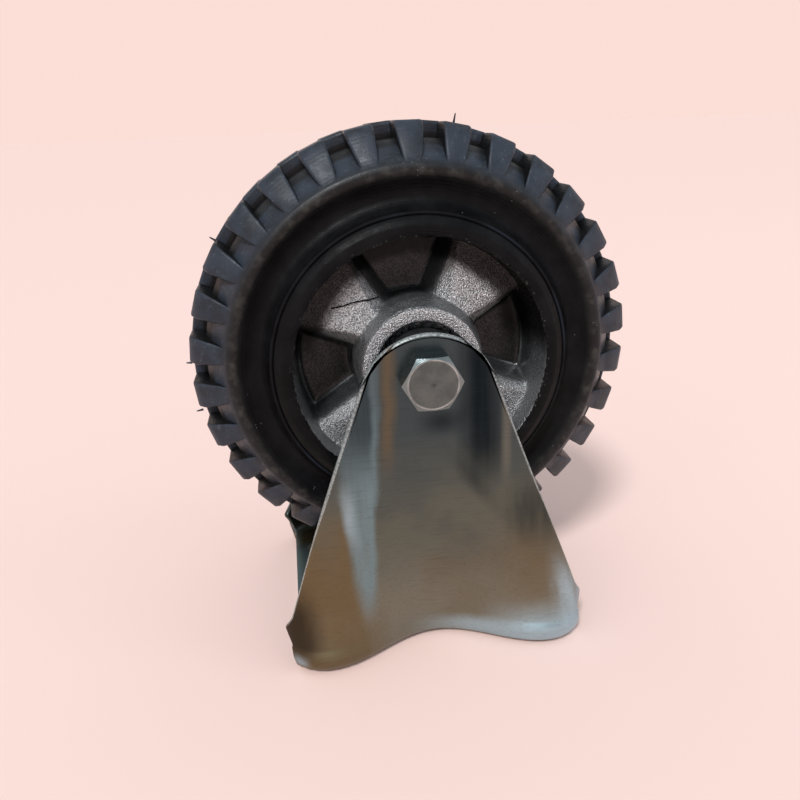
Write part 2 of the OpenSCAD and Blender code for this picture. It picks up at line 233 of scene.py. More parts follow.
class Finish:
    """A principled material with short calls for the nodes that its finish needs."""

    def __init__(self, name, **sockets):
        self.material = bpy.data.materials.new(name)
        self.material.use_nodes = True
        self.tree = self.material.node_tree
        self.shader = self.tree.nodes["Principled BSDF"]
        for key, value in sockets.items():
            socket = key.replace("_", " ").title().replace("Ior", "IOR")
            self.shader.inputs[socket].default_value = value
        where = self.add("ShaderNodeTexCoord")
        self.coords, self.normal = where.outputs["Object"], where.outputs["Normal"]

    def add(self, kind, **settings):
        node = self.tree.nodes.new(kind)
        for key, value in settings.items():
            setattr(node, key, value)
        return node

    def link(self, source, target):
        self.tree.links.new(source, target)

    def feed(self, socket, value):
        if isinstance(value, bpy.types.NodeSocket):
            self.link(value, socket)
        else:
            socket.default_value = value

    def place(self, scale=(1, 1, 1), at=(0, 0, 0)):
        mapping = self.add("ShaderNodeMapping")
        mapping.inputs["Location"].default_value = at
        mapping.inputs["Scale"].default_value = scale
        self.link(self.coords, mapping.inputs["Vector"])
        return mapping.outputs["Vector"]

    def noise(self, scale, detail=3.0, rough=0.55, vector=None):
        node = self.add("ShaderNodeTexNoise")
        node.inputs["Scale"].default_value = scale
        node.inputs["Detail"].default_value = detail
        node.inputs["Roughness"].default_value = rough
        self.link(vector or self.coords, node.inputs["Vector"])
        return node.outputs["Fac"]

    def cells(self, scale, vector=None, feature="F1"):
        node = self.add("ShaderNodeTexVoronoi", feature=feature)
        node.inputs["Scale"].default_value = scale
        self.link(vector or self.coords, node.inputs["Vector"])
        return node.outputs["Distance"]

    def axis(self, letter):
        node = self.add("ShaderNodeSeparateXYZ")
        self.link(self.coords, node.inputs["Vector"])
        return node.outputs[letter]

    def facing(self, letter):
        """How far the surface faces along one axis."""
        node = self.add("ShaderNodeSeparateXYZ")
        self.link(self.normal, node.inputs["Vector"])
        return node.outputs[letter]

    def axle_radius(self):
        """Distance from the axle."""
        flat = self.place(scale=(1, 0, 1), at=(0, 0, -AXLE_Z))
        node = self.add("ShaderNodeVectorMath", operation="LENGTH")
        self.link(flat, node.inputs[0])
        return node.outputs["Value"]

    def math(self, operation, first, second=0.0):
        node = self.add("ShaderNodeMath", operation=operation)
        self.feed(node.inputs[0], first)
        self.feed(node.inputs[1], second)
        return node.outputs["Value"]

    def size(self, value):
        return self.math("ABSOLUTE", value)

    def times(self, *values):
        total = values[0]
        for value in values[1:]:
            total = self.math("MULTIPLY", total, value)
        return total

    def span(self, value, low, high, to_low=0.0, to_high=1.0):
        """Soft step of a value from low to high."""
        node = self.add("ShaderNodeMapRange", interpolation_type="SMOOTHSTEP")
        self.feed(node.inputs["Value"], value)
        node.inputs["From Min"].default_value = low
        node.inputs["From Max"].default_value = high
        node.inputs["To Min"].default_value = to_low
        node.inputs["To Max"].default_value = to_high
        return node.outputs["Result"]

    def hump(self, value, middle, half_width):
        """One at the middle, falling softly to nothing on both sides."""
        off = self.size(self.math("SUBTRACT", value, middle))
        return self.span(off, half_width, 0.0)

    def mix(self, share, first, second):
        node = self.add("ShaderNodeMix", data_type="RGBA")
        self.feed(node.inputs["Factor"], share)
        for socket, colour in ((node.inputs["A"], first), (node.inputs["B"], second)):
            if isinstance(colour, bpy.types.NodeSocket):
                self.link(colour, socket)
            else:
                socket.default_value = (*colour, 1)
        return node.outputs["Result"]

    def lay(self, tone, colour, *shares):
        """Lays a colour over a tone by the product of its shares."""
        return self.mix(self.times(*shares), tone, colour)

    def rings(self, r, count):
        """Fine waves round the axle, for turning and mould marks."""
        return self.math("SINE", self.times(r, count))

    def colour(self, value):
        self.link(value, self.shader.inputs["Base Color"])

    def roughness(self, value):
        self.link(value, self.shader.inputs["Roughness"])

    def bump(self, height, strength, distance):
        node = self.add("ShaderNodeBump")
        node.inputs["Strength"].default_value = strength
        node.inputs["Distance"].default_value = distance
        self.link(height, node.inputs["Height"])
        last = self.shader.inputs["Normal"].links
        if last:
            self.link(last[0].from_socket, node.inputs["Normal"])
        self.link(node.outputs["Normal"], self.shader.inputs["Normal"])


def zinc_sheet():
    """Bright zinc with brush marks and smudges; its blue, golden, white and dark tones are mostly
    painted reflections and highlights, with some random passivation tint.
    """
    f = Finish("zinc_sheet", metallic=1.0)
    x, z = f.axis("X"), f.axis("Z")
    cloud = f.noise(48, detail=4)
    streak = f.noise(150, detail=4, vector=f.place(scale=(1, 1, 0.04)))
    brush = f.noise(2600, detail=3, vector=f.place(scale=(0.03, 1, 1)))
    wander = 0.005
    drift = f.times(f.math("SUBTRACT", cloud, 0.5), wander)
    sway = f.times(f.math("SUBTRACT", streak, 0.5), wander)
    bent = f.math("ADD", f.math("ADD", x, drift), sway)
    low = f.math("ADD", z, drift)

    def off_line(at_x, at_z, slope):
        """X measured from a line through a point, with its run in X for each rise in Z."""
        run = f.times(f.math("SUBTRACT", z, at_z), slope)
        return f.math("SUBTRACT", f.math("SUBTRACT", bent, at_x), run)

    slate, khaki, pale = (0.060, 0.082, 0.090), (0.130, 0.143, 0.118), (0.215, 0.220, 0.178)
    blue, painted_highlight = (0.200, 0.310, 0.350), (0.40, 0.56, 0.64)
    gold, brown, dark = (0.165, 0.128, 0.070), (0.030, 0.023, 0.016), (0.008, 0.013, 0.017)
    streaky = f.span(streak, 0.32, 0.66, 0.45, 1.0)
    patchy = f.span(cloud, 0.30, 0.62, 0.55, 1.0)
    blue_right = off_line(-0.0168, 0.0987, 0.055)
    blue_left = off_line(-0.0269, 0.0196, -0.101)

    # Painted reflections and highlights down the leg, with some random passivation tint: a colour, its
    # strength and the places that it covers
    # Painted reflection: dark slate at the top of the leg, shading to khaki and pale towards the foot
    tone = f.mix(f.span(low, 0.092, 0.050), slate, khaki)
    tone = f.lay(tone, pale, 0.9, f.span(low, 0.050, 0.012))
    tone = f.lay(tone, gold, 0.30, f.span(f.noise(26, detail=3), 0.42, 0.62),
                 f.span(low, 0.062, 0.030))
    tone = f.lay(tone, slate, 0.35, f.span(f.noise(31, detail=3), 0.48, 0.66),
                 f.span(low, 0.024, 0.048))
    # Painted reflections of the ground: gold on the lower right, beside the blue band and low on the
    # left, brown on the left lobe
    tone = f.lay(tone, gold, 0.55, f.span(bent, 0.022, 0.036), f.hump(low, 0.032, 0.024), patchy)
    tone = f.lay(tone, gold, 0.95, f.span(blue_left, 0.0015, -0.0030), f.span(low, 0.064, 0.046),
                 patchy)
    tone = f.lay(tone, gold, 0.55, f.span(bent, -0.016, -0.026), f.span(low, 0.022, 0.010))
    tone = f.lay(tone, brown, 0.85, f.span(bent, -0.040, -0.050), f.span(low, 0.038, 0.020),
                 f.span(z, 0.004, 0.011))
    # Painted reflection of the sky: a blue band down the left of the leg, with a white painted highlight
    # in it and gold beside its upper part
    tone = f.lay(tone, blue, 0.9, f.span(blue_right, 0.0006, -0.0022),
                 f.span(blue_left, -0.0020, 0.0030), f.span(low, 0.012, 0.032),
                 f.span(z, 0.104, 0.066, 0.45, 1.0), streaky)
    tone = f.lay(tone, painted_highlight, 0.6, f.hump(blue_left, 0.0012, 0.0042), f.hump(z, 0.056, 0.017))
    tone = f.lay(tone, gold, 0.65, f.hump(blue_right, 0.0024, 0.0040), f.span(z, 0.066, 0.086))
    # Painted reflections: dark bands along the left edge, beside the bolt, to the right and on a
    # diagonal, and a pale painted highlight along the upper right edge
    tone = f.lay(tone, dark, 0.80, f.span(bent, -0.0190, -0.0215), f.span(z, 0.062, 0.090), streaky)
    tone = f.lay(tone, dark, 1.0, f.hump(bent, 0.0185, 0.0115), f.span(low, 0.056, 0.080),
                 f.span(streak, 0.3, 0.6, 0.7, 1.0))
    tone = f.lay(tone, pale, 0.50, f.hump(x, 0.0268, 0.0028), f.span(z, 0.058, 0.076))
    tone = f.lay(tone, dark, 0.70, f.span(bent, 0.0245, 0.0330), f.hump(low, 0.052, 0.019), streaky)
    dark_band_line = f.math("ADD", low, f.times(x, 1.2))
    tone = f.lay(tone, dark, 0.40, f.hump(dark_band_line, 0.0831, 0.0075), f.hump(x, 0.016, 0.014), streaky)
    # Painted shadow under the bolt head
    tone = f.lay(tone, dark, 0.70, f.hump(x, 0.0040, 0.0115), f.hump(z, 0.0890, 0.0075))
    # Painted highlights: white on the right lobe and along the foot, and a white spot at the end of the
    # left lobe
    tone = f.lay(tone, painted_highlight, 0.85, f.span(bent, 0.0405, 0.0490), f.span(low, 0.042, 0.018), streaky)
    off_the_floor = f.span(z, 0.0005, 0.0030)
    tone = f.lay(tone, painted_highlight, 0.80, f.span(x, -0.014, 0.018), f.span(low, 0.0120, 0.0060), off_the_floor)
    tone = f.lay(tone, painted_highlight, 0.60, f.span(bent, 0.014, 0.036), f.span(low, 0.020, 0.008), off_the_floor)
    tone = f.lay(tone, painted_highlight, 0.70, f.hump(x, -0.0515, 0.0045), f.hump(z, 0.0050, 0.0035))
    tone = f.lay(tone, (0.03, 0.035, 0.036), 0.22, f.span(brush, 0.50, 0.74))
    tone = f.lay(tone, (0.02, 0.02, 0.02), 0.7, f.span(f.cells(150), 0.045, 0.02),
                 f.span(f.noise(60, detail=1), 0.52, 0.60))

    # Rolled edge, lighter as bare cut metal and partly as a painted highlight; plate; legs' inner faces
    # darkened as painted shade
    y, out = f.axis("Y"), f.facing("Y")
    turned = f.math("SUBTRACT", f.size(out), f.span(z, 0.042, 0.066, -0.2, 0.17))
    speckle = f.span(f.noise(1500, detail=4), 0.36, 0.62, 0.25, 1.0)
    edge = f.times(f.span(turned, 0.80, 0.64), f.span(z, 0.014, 0.022))
    # Lighter rolled edge: bare cut metal, and partly a painted highlight where it catches the light
    tone = f.lay(tone, (0.44, 0.46, 0.45), speckle, edge)
    plate = f.times(f.span(z, 0.0045, 0.0032), f.span(f.size(y), 0.036, 0.030))
    # Painted shade on the legs' inner faces
    inner_face_shade = f.span(f.times(out, y), -0.012, -0.024)
    tone = f.lay(tone, (0.045, 0.066, 0.066), 0.8, inner_face_shade)
    tone = f.lay(tone, (0.13, 0.175, 0.175), 0.9, plate)
    f.colour(tone)
    dull_foot = f.span(z, 0.024, 0.008, 0.2, 0.46)
    dull_edge = f.times(f.math("MAXIMUM", edge, plate), 0.5)
    sheen = f.math("MAXIMUM", f.span(f.noise(140, detail=4), 0.25, 0.8, 0.21, 0.33), dull_foot)
    f.roughness(f.math("MAXIMUM", sheen, dull_edge))
    f.link(f.span(edge, 0.0, 1.0, 1.0, 0.45), f.shader.inputs["Metallic"])
    f.bump(brush, 0.05, 0.0002)
    f.bump(f.noise(36, detail=1), 0.10, 0.0012)
    return f.material


def tyre_rubber():
    """Black rubber: dusty and scuffed on tread and ridge, where the dust's blue tint and the ridge's
    brown are partly a painted sheen; dust is kept off the gaps and lug sides, which stay dark as painted
    shade; dark on the sidewall; painted glints along the bead's edge.
    """
    f = Finish("tyre_rubber")
    r = f.axle_radius()
    outwards = f.add("ShaderNodeVectorMath", operation="NORMALIZE")
    f.link(f.place(scale=(1, 0, 1), at=(0, 0, -AXLE_Z)), outwards.inputs[0])
    rise = f.add("ShaderNodeVectorMath", operation="DOT_PRODUCT")
    f.link(f.normal, rise.inputs[0])
    f.link(outwards.outputs["Vector"], rise.inputs[1])
    open_side = f.math("MAXIMUM", f.size(f.facing("Y")), rise.outputs["Value"])
    # Painted shade: no dust in the gaps between lugs or on the lug sides, so they stay dark
    in_gap = f.times(f.span(f.size(f.axis("Y")), 0.0128, 0.0108), f.span(r, 0.0772, 0.0756))
    exposed = f.times(f.span(open_side, 0.30, 0.62), f.math("SUBTRACT", 1.0, in_gap))

    black, worn = (0.0030, 0.0030, 0.0036), (0.0085, 0.0085, 0.0095)
    # The dust's blue tint is partly a painted sheen of the sky
    dust_and_sheen, scuffed, brown = (0.027, 0.035, 0.051), (0.110, 0.125, 0.145), (0.070, 0.067, 0.058)
    painted_glint, fleck = (0.30, 0.29, 0.27), (0.35, 0.34, 0.33)
    base = f.mix(f.span(f.noise(90, detail=5, rough=0.65), 0.35, 0.72), black, worn)
    tread = f.times(f.span(r, 0.0650, 0.0700), exposed)
    base = f.lay(base, dust_and_sheen, tread, f.span(f.noise(150, detail=4), 0.30, 0.62, 0.45, 1.0))
    scuff = f.span(f.noise(420, detail=6, rough=0.75), 0.54, 0.74, 0.0, 0.60)
    base = f.lay(base, scuffed, tread, scuff)
    # Brown on the ridge: partly dust and partly a painted sheen
    ridge = f.hump(r, 0.0650, 0.0032)
    base = f.lay(base, brown, ridge, f.span(f.noise(240, detail=4), 0.42, 0.72, 0.0, 0.6))
    ring = f.hump(r, RING_R, 0.0007)
    base = f.lay(base, dust_and_sheen, ring, f.span(f.noise(38, detail=2), 0.50, 0.66, 0.04, 0.55))
    # Painted glints along the bead's torn edge
    torn = f.hump(r, RIM_EDGE_R, 0.0010)
    base = f.lay(base, painted_glint, torn, f.span(f.noise(800, detail=3), 0.60, 0.72, 0.0, 0.45))
    speck = f.times(f.span(f.cells(420), 0.085, 0.05), f.span(f.noise(75, detail=1), 0.58, 0.64))
    base = f.lay(base, fleck, speck, 0.6)
    f.colour(base)
    f.roughness(f.span(f.noise(200, detail=3), 0.2, 0.8, 0.34, 0.54))
    f.link(f.span(r, 0.0615, 0.0650, 0.10, 0.32), f.shader.inputs["Specular IOR Level"])
    f.bump(f.rings(r, 5200), 0.04, 0.0003)
    f.bump(f.noise(1400, detail=3), 0.25, 0.0003)
    f.bump(f.noise(120, detail=2), 0.20, 0.0010)
    return f.material


def cast_aluminium():
    """Grey cast metal: grainy on the faces, with painted shade in the pockets and a painted shadow of
    the bead on the spokes' outer ends in the upper half.
    """
    f = Finish("cast_aluminium", metallic=0.9)
    r = f.axle_radius()
    flat = f.span(f.size(f.facing("Y")), 0.60, 0.90)
    deep = f.span(f.size(f.axis("Y")), 0.0140, 0.0085)
    open_face = f.math("SUBTRACT", 1.0, deep)
    grain = f.noise(1900, detail=2, rough=0.55)
    tone = f.mix(f.span(grain, 0.38, 0.64), (0.25, 0.258, 0.266), (0.69, 0.71, 0.73))
    tone = f.lay(tone, (0.26, 0.268, 0.275), f.math("SUBTRACT", 1.0, flat), 0.60)
    # Painted shadow of the bead on the outer ends of the spokes, on the upper half only
    ragged = f.math("ADD", r, f.times(f.noise(110, detail=4), 0.006))
    upper = f.span(f.axis("Z"), AXLE_Z - 0.004, AXLE_Z + 0.008)
    tone = f.lay(tone, (0.022, 0.019, 0.017), f.span(ragged, 0.0365, 0.0410), upper, 0.92)
    # Painted shade in the pockets, strongest on the web
    tone = f.lay(tone, (0.008, 0.0082, 0.0086), deep, f.span(flat, 0.0, 1.0, 0.45, 0.95))
    f.colour(tone)
    f.roughness(f.span(f.noise(400), 0.3, 0.7, 0.30, 0.44))
    f.bump(f.times(grain, open_face, f.span(flat, 0.0, 1.0, 0.45, 1.0)), 1.0, 0.0008)
    f.bump(f.times(f.noise(600, detail=2), open_face), 0.35, 0.0006)
    return f.material


def zinc_fastener():
    """Zinc plate with turning marks; a head's chamfer is lighter as a painted reflection, with a painted
    highlight line where it starts.
    """
    f = Finish("zinc_fastener", metallic=1.0)
    r = f.axle_radius()
    cloud = f.noise(220, detail=4)
    rim = CHAMFER_R - 0.0002
    tone = f.mix(f.span(cloud, 0.3, 0.7), (0.100, 0.120, 0.118), (0.140, 0.162, 0.158))
    # Painted reflection: the chamfer lighter and bluer than the face
    tone = f.mix(f.span(r, rim, CHAMFER_R + 0.0001, 0.0, 0.75), tone, (0.24, 0.29, 0.30))
    # Painted highlight: a bright line where the chamfer starts, patchy along its length
    worn = f.span(cloud, 0.35, 0.65, 0.2, 0.6)
    tone = f.lay(tone, (0.70, 0.74, 0.73), f.hump(r, rim, 0.00045), worn)
    stain = f.span(cloud, 0.45, 0.55, 0.1, 0.7)
    tone = f.lay(tone, (0.04, 0.045, 0.05), f.hump(r, 0.0, 0.0016), stain)
    f.colour(tone)
    f.roughness(f.span(f.noise(500, detail=3), 0.25, 0.75, 0.25, 0.38))
    f.bump(f.rings(r, 16000), 0.06, 0.0001)
    f.bump(f.noise(1500, detail=2), 0.12, 0.0002)
    return f.material


def bearing_steel():
    """Ground steel of the rings, balls and cages."""
    f = Finish("bearing_steel", metallic=1.0)
    f.colour(f.mix(f.noise(300), (0.50, 0.51, 0.53), (0.60, 0.61, 0.62)))
    f.roughness(f.span(f.noise(900), 0.3, 0.7, 0.12, 0.24))
    f.bump(f.rings(f.axle_radius(), 30000), 0.03, 0.0001)
    return f.material


def seal_rubber():
    """Dull black rubber of the bearings' seals."""
    f = Finish("seal_rubber", specular_ior_level=0.4)
    cloud = f.span(f.noise(260, detail=4), 0.35, 0.7)
    f.colour(f.mix(cloud, (0.012, 0.012, 0.013), (0.030, 0.030, 0.032)))
    f.roughness(f.span(f.noise(500), 0.3, 0.7, 0.38, 0.55))
    f.bump(f.noise(2200), 0.12, 0.0002)
    return f.material


def nylon():
    """Cream plastic of the ring in the lock nut."""
    f = Finish("nylon", specular_ior_level=0.45, subsurface_weight=0.1, subsurface_scale=0.001)
    f.colour(f.mix(f.noise(240, detail=3), (0.72, 0.68, 0.56), (0.80, 0.77, 0.66)))
    f.roughness(f.span(f.noise(600), 0.3, 0.7, 0.42, 0.55))
    f.bump(f.noise(1800), 0.08, 0.0002)
    return f.material


# Bracket

def lobe(x):
    """How far the lobes push the foot of a leg outwards."""
    off = abs(x)
    if off < LOBE_X:
        return LOBE_OUT * math.sin(math.pi / 2 * off / LOBE_X) ** 2
    return LOBE_OUT - LOBE_END_R + math.sqrt(LOBE_END_R ** 2 - (off - LOBE_X) ** 2)


def wall_point(x, z):
    """Point of the front leg's outer face, flared towards its foot."""
    flare = (max(0, FLARE_Z - z) / (FLARE_Z - BEND_R)) ** FLARE_POWER
    return Vector((x, -LEG_OUT - lobe(x) * flare, z))


def bend_point(x, share):
    """Point of the bend between leg and plate, from the leg at 0 to the plate at 1."""
    lean = math.atan(FLARE_POWER * lobe(x) / (FLARE_Z - BEND_R))
    turn = lean - (lean + math.pi / 2) * share
    middle = LEG_OUT + lobe(x) - BEND_R * math.cos(lean)
    return Vector((x, -middle - BEND_R * math.cos(turn), BEND_R + BEND_R * math.sin(turn)))


def plate_point(x, share):
    start = bend_point(x, 1)
    return Vector((x, start.y * (1 - share), 0))


def between(start, end, steps):
    return [Vector(start).lerp(Vector(end), i / steps) for i in range(1, steps + 1)]


def leg_side():
    """Right edge of a leg from the shoulder of its round end down to the bend, in X and Z."""
    rise = LEG_END_Z - EDGE_H
    edge_turn = math.acos(LEG_END_R / math.hypot(EDGE_X, rise)) - math.atan(rise / EDGE_X)
    turns = [SHOULDER + (edge_turn - SHOULDER) * i / 6 for i in range(7)]
    side = [Vector((LEG_END_R * math.cos(a), LEG_END_Z + LEG_END_R * math.sin(a))) for a in turns]
    side += between(side[-1], (EDGE_X, EDGE_H), 40)
    side += between((EDGE_X, EDGE_H), (CORNER_X, CORNER_H), 5)
    side += between((CORNER_X, CORNER_H), (FOOT_X, FOOT_Z), 6)
    return side


def leg_patch(columns):
    """Rows of points that fill a leg's outline between its round end, its two edges and its foot."""
    side = leg_side()
    length = [0.0]
    for first, second in zip(side, side[1:]):
        length.append(length[-1] + (second - first).length)
    rows = []
    for point, run in zip(side, length):
        v = run / length[-1]
        row = []
        for c in range(columns + 1):
            u = c / columns
            a = math.pi - SHOULDER + (2 * SHOULDER - math.pi) * u
            top = Vector((LEG_END_R * math.cos(a), LEG_END_Z + LEG_END_R * math.sin(a)))
            across = Vector(((2 * u - 1) * point.x, point.y))
            top_line = Vector(((2 * u - 1) * side[0].x, side[0].y))
            row.append(across + (1 - v) * (top - top_line))
        rows.append(row)
    return rows


def bolt_slot_cutter(x, y):
    """A round bar drawn apart in X to the shape of one bolt slot."""
    clear_selection()
    bpy.ops.mesh.primitive_cylinder_add(vertices=48, radius=SLOT_R, depth=4 * SHEET_T,
                                        location=(x, y, 0))
    slot = bpy.context.object
    for vertex in slot.data.vertices:
        if abs(vertex.co.x) > 1e-6:
            vertex.co.x += math.copysign(SLOT_STRAIGHT, vertex.co.x)
    settle(slot)
    return slot


def roll_leg_edges(sheet):
    """Rounds both edges of the sheet along the legs, above the bends."""
    pick(sheet)
    bpy.ops.object.mode_set(mode="EDIT")
    bpy.ops.mesh.select_mode(type="EDGE")
    bpy.ops.mesh.select_all(action="DESELECT")
    bpy.ops.mesh.edges_select_sharp(sharpness=math.radians(SHARP_TURN))
    bpy.ops.object.mode_set(mode="OBJECT")
    points = sheet.data.vertices
    lowest = FOOT_Z + 0.0005
    for edge in sheet.data.edges:
        edge.select = edge.select and min(points[i].co.z for i in edge.vertices) > lowest
    bpy.ops.object.mode_set(mode="EDIT")
    bpy.ops.mesh.bevel(offset=ROLLED_EDGE, segments=4, affect="EDGES", clamp_overlap=False)
    bpy.ops.mesh.select_mode(type="VERT")
    bpy.ops.object.mode_set(mode="OBJECT")


def make_bracket():
    """The front half of the sheet as a grid, mirrored, thickened, rounded and pierced."""
    columns, bend_rows, plate_rows = 30, 10, 12
    rows = [[wall_point(p.x, p.y) for p in row] for row in leg_patch(columns)]
    for i in range(1, bend_rows + 1):
        share = i / bend_rows
        half = FOOT_X + (PLATE_X - FOOT_X) * share
        rows.append([bend_point((2 * c / columns - 1) * half, share) for c in range(columns + 1)])
    for i in range(1, plate_rows + 1):
        share = i / plate_rows
        rows.append([plate_point((2 * c / columns - 1) * PLATE_X, share) for c in range(columns + 1)])
    clear_selection()
    bpy.ops.mesh.primitive_grid_add(x_subdivisions=columns, y_subdivisions=len(rows) - 1, size=2)
    sheet = bpy.context.object
    for vertex in sheet.data.vertices:
        c = round((vertex.co.x + 1) / 2 * columns)
        r = round((1 - vertex.co.y) / 2 * (len(rows) - 1))
        vertex.co = rows[r][c]
    mirror = sheet.modifiers.new("rear_leg", "MIRROR")
    mirror.use_axis = (False, True, False)
    mirror.merge_threshold = 1e-5
    apply_modifiers(sheet)
    close_and_turn_out(sheet)
    wall = sheet.modifiers.new("sheet", "SOLIDIFY")
    wall.thickness = SHEET_T
    wall.offset = -1
    wall.use_even_offset = True
    apply_modifiers(sheet)
    roll_leg_edges(sheet)
    break_edges(sheet, "broken_edge", BROKEN_EDGE, 2, SHARP_TURN)
    apply_modifiers(sheet)
    clear_selection()
    bpy.ops.mesh.primitive_cylinder_add(vertices=64, radius=AXLE_HOLE_R, depth=4 * LEG_OUT,
                                        location=AXLE)
    hole = bpy.context.object
    hole.rotation_euler.x = math.pi / 2
    settle(hole)
    slots = [bolt_slot_cutter(sx * SLOT_X, sy * SLOT_Y) for sx in (-1, 1) for sy in (-1, 1)]
    cut_away(sheet, join([hole] + slots, "cutter"))
    smooth(sheet, 40)
    sheet.name = "pressed_bracket"
    return sheet


# Tyre

def on_ridge(degrees):
    """Point of the round ridge under the lugs, as radius and Y."""
    a = math.radians(degrees)
    return Vector((RIDGE_R + RIDGE_ROUND * math.cos(a), RIDGE_Y + RIDGE_ROUND * math.sin(a)))


def curve(start, lead, foot, end, steps):
    """Points of a curve that leaves its two ends towards two guide points."""
    points = []
    for i in range(steps + 1):
        t = i / steps
        u = 1 - t
        points.append(u ** 3 * start + 3 * u * u * t * lead + 3 * u * t * t * foot + t ** 3 * end)
    return points


def carcass_half():
    """Half section of the tyre without lugs as radius and Y, from the tread's middle to the bond."""
    floor_r = TREAD_R - LUG_DEPTH
    ring = Vector((RING_R, RING_Y))
    floor = Vector((floor_r - 0.001, TREAD_HALF - 0.0005))
    section = [(floor_r, 0.0), (floor_r, TREAD_HALF - 0.003), floor]
    section += between(floor, on_ridge(SLOPE_TURN), 4)[:-1]
    section += [on_ridge(SLOPE_TURN + (HOLLOW_TURN - SLOPE_TURN) * i / 12) for i in range(12)]
    start = on_ridge(HOLLOW_TURN)
    away = Vector((-math.sin(math.radians(HOLLOW_TURN)), math.cos(math.radians(HOLLOW_TURN))))
    section += curve(start, start + HOLLOW_LEAD * away, ring + HOLLOW_FOOT, ring, 18)[:-1]
    for turn in (20, 60, 100, 140, 180):
        a = math.radians(turn)
        section.append(ring + RING_ROUND * Vector((math.cos(a), math.sin(a))))
    section += [(RING_R - 0.0012, RING_Y + 0.0010), (BOND_R + 0.0010, BEAD_Y - 0.0009)]
    section += [(BOND_R, BEAD_Y - 0.0003), (BOND_R - 0.0006, BEAD_Y), (RIM_EDGE_R + 0.0004, BEAD_Y)]
    section += [(RIM_EDGE_R, BEAD_Y - 0.0004), (RIM_EDGE_R, RIM_EDGE_Y)]
    section += [(BOND_R, RIM_EDGE_Y), (BOND_R, 0.0)]
    return [Vector(point) for point in section]


def make_carcass():
    """The tyre without lugs, spun about the axle."""
    half = carcass_half()
    loop = half + [(r, -y) for r, y in reversed(half[1:-1])]
    clear_selection()
    bpy.ops.mesh.primitive_circle_add(vertices=len(loop), radius=1, fill_type="NOTHING")
    carcass = bpy.context.object
    for vertex, (r, y) in zip(carcass.data.vertices, loop):
        vertex.co = (0, y, AXLE_Z + r)
    bpy.ops.object.mode_set(mode="EDIT")
    bpy.ops.mesh.select_all(action="SELECT")
    bpy.ops.mesh.spin(steps=240, angle=2 * math.pi, center=AXLE, axis=(0, 1, 0))
    bpy.ops.object.mode_set(mode="OBJECT")
    close_and_turn_out(carcass, 1e-5)
    return carcass


def lug_sections():
    """Sections of one front lug that points along Z, from the tread's middle to the ridge."""
    pitch = math.pi / LUG_COUNT
    floor_r = TREAD_R - LUG_DEPTH

    def half_length(r):
        if r >= floor_r:
            return (r * pitch + LUG_LAP) / 2
        top = (floor_r * pitch + LUG_LAP) / 2
        return LUG_FOOT_L / 2 + (top - LUG_FOOT_L / 2) * (r - RIDGE_R) / (floor_r - RIDGE_R)

    root_r = floor_r - 0.0015
    # Top radius and Y, foot radius and Y
    stations = [(TREAD_R, -0.0007, root_r, -0.0007), (TREAD_R, 0.0055, root_r, 0.0050),
                (TREAD_R, TREAD_HALF, root_r, TREAD_HALF - 0.0035),
                (TREAD_R - 0.0024, TREAD_HALF + 0.003, root_r - 0.0012, TREAD_HALF - 0.0015),
                (TREAD_R - 0.0082, 0.01675, RIDGE_R + 0.0030, 0.0140),
                (RIDGE_R + 0.0012, RIDGE_HALF - 0.0006, RIDGE_R + 0.0006, RIDGE_HALF - 0.0034)]
    sections = []
    for top_r, top_y, foot_r, foot_y in stations:
        top, foot = half_length(top_r), half_length(foot_r)
        top_z, foot_z = AXLE_Z + top_r, AXLE_Z + foot_r
        sections.append([Vector((-top, -top_y, top_z)), Vector((top, -top_y, top_z)),
                         Vector((foot, -foot_y, foot_z)), Vector((-foot, -foot_y, foot_z))])
    return sections


def loft(sections, name):
    """A closed four-sided bar through the sections, drawn out of a plane face by face."""
    clear_selection()
    bpy.ops.mesh.primitive_plane_add(size=1)
    bar = bpy.context.object
    bar.name = name
    order = [0, 1, 3, 2]
    for corner, point in zip(order, sections[0]):
        bar.data.vertices[corner].co = point
    for drawn, section in zip(sections, sections[1:]):
        bpy.ops.object.mode_set(mode="EDIT")
        bpy.ops.mesh.extrude_region_move()
        bpy.ops.object.mode_set(mode="OBJECT")
        moved = [v for v in bar.data.vertices if v.select]
        ends = [min(moved, key=lambda v: (v.co - corner).length) for corner in drawn]
        for end, point in zip(ends, section):
            end.co = point
    close_and_turn_out(bar)
    return bar


def make_bead_flash(side):
    """Thin torn lip of rubber that the mould left along a bead's edge."""
    around, rows = 420, 2
    clear_selection()
    bpy.ops.mesh.primitive_grid_add(x_subdivisions=around, y_subdivisions=rows, size=2)
    lip = bpy.context.object
    for vertex in lip.data.vertices:
        turn = math.pi * vertex.co.x
        inner = (1 - vertex.co.y) / 2
        at = Vector((math.cos(turn), math.sin(turn), 0.3 * side))
        tear = 0.5 * noise.noise(at * 6) + 0.6 * noise.noise(at * 31) + 0.7 * noise.noise(at * 73)
        reach = FLASH_LEAST + FLASH_TORN * max(0.0, min(1.0, 0.40 + tear))
        r = RIM_EDGE_R + FLASH_LAP - inner * (FLASH_LAP + reach)
        y = BEAD_Y - 0.0001 - 0.0005 * inner * (1 + noise.noise(at * 11))
        vertex.co = AXLE + Vector((r * math.cos(turn), side * y, r * math.sin(turn)))
    close_and_turn_out(lip, 1e-6)
    skin = lip.modifiers.new("skin", "SOLIDIFY")
    skin.thickness = FLASH_T
    skin.offset = 0
    apply_modifiers(lip)
    return lip


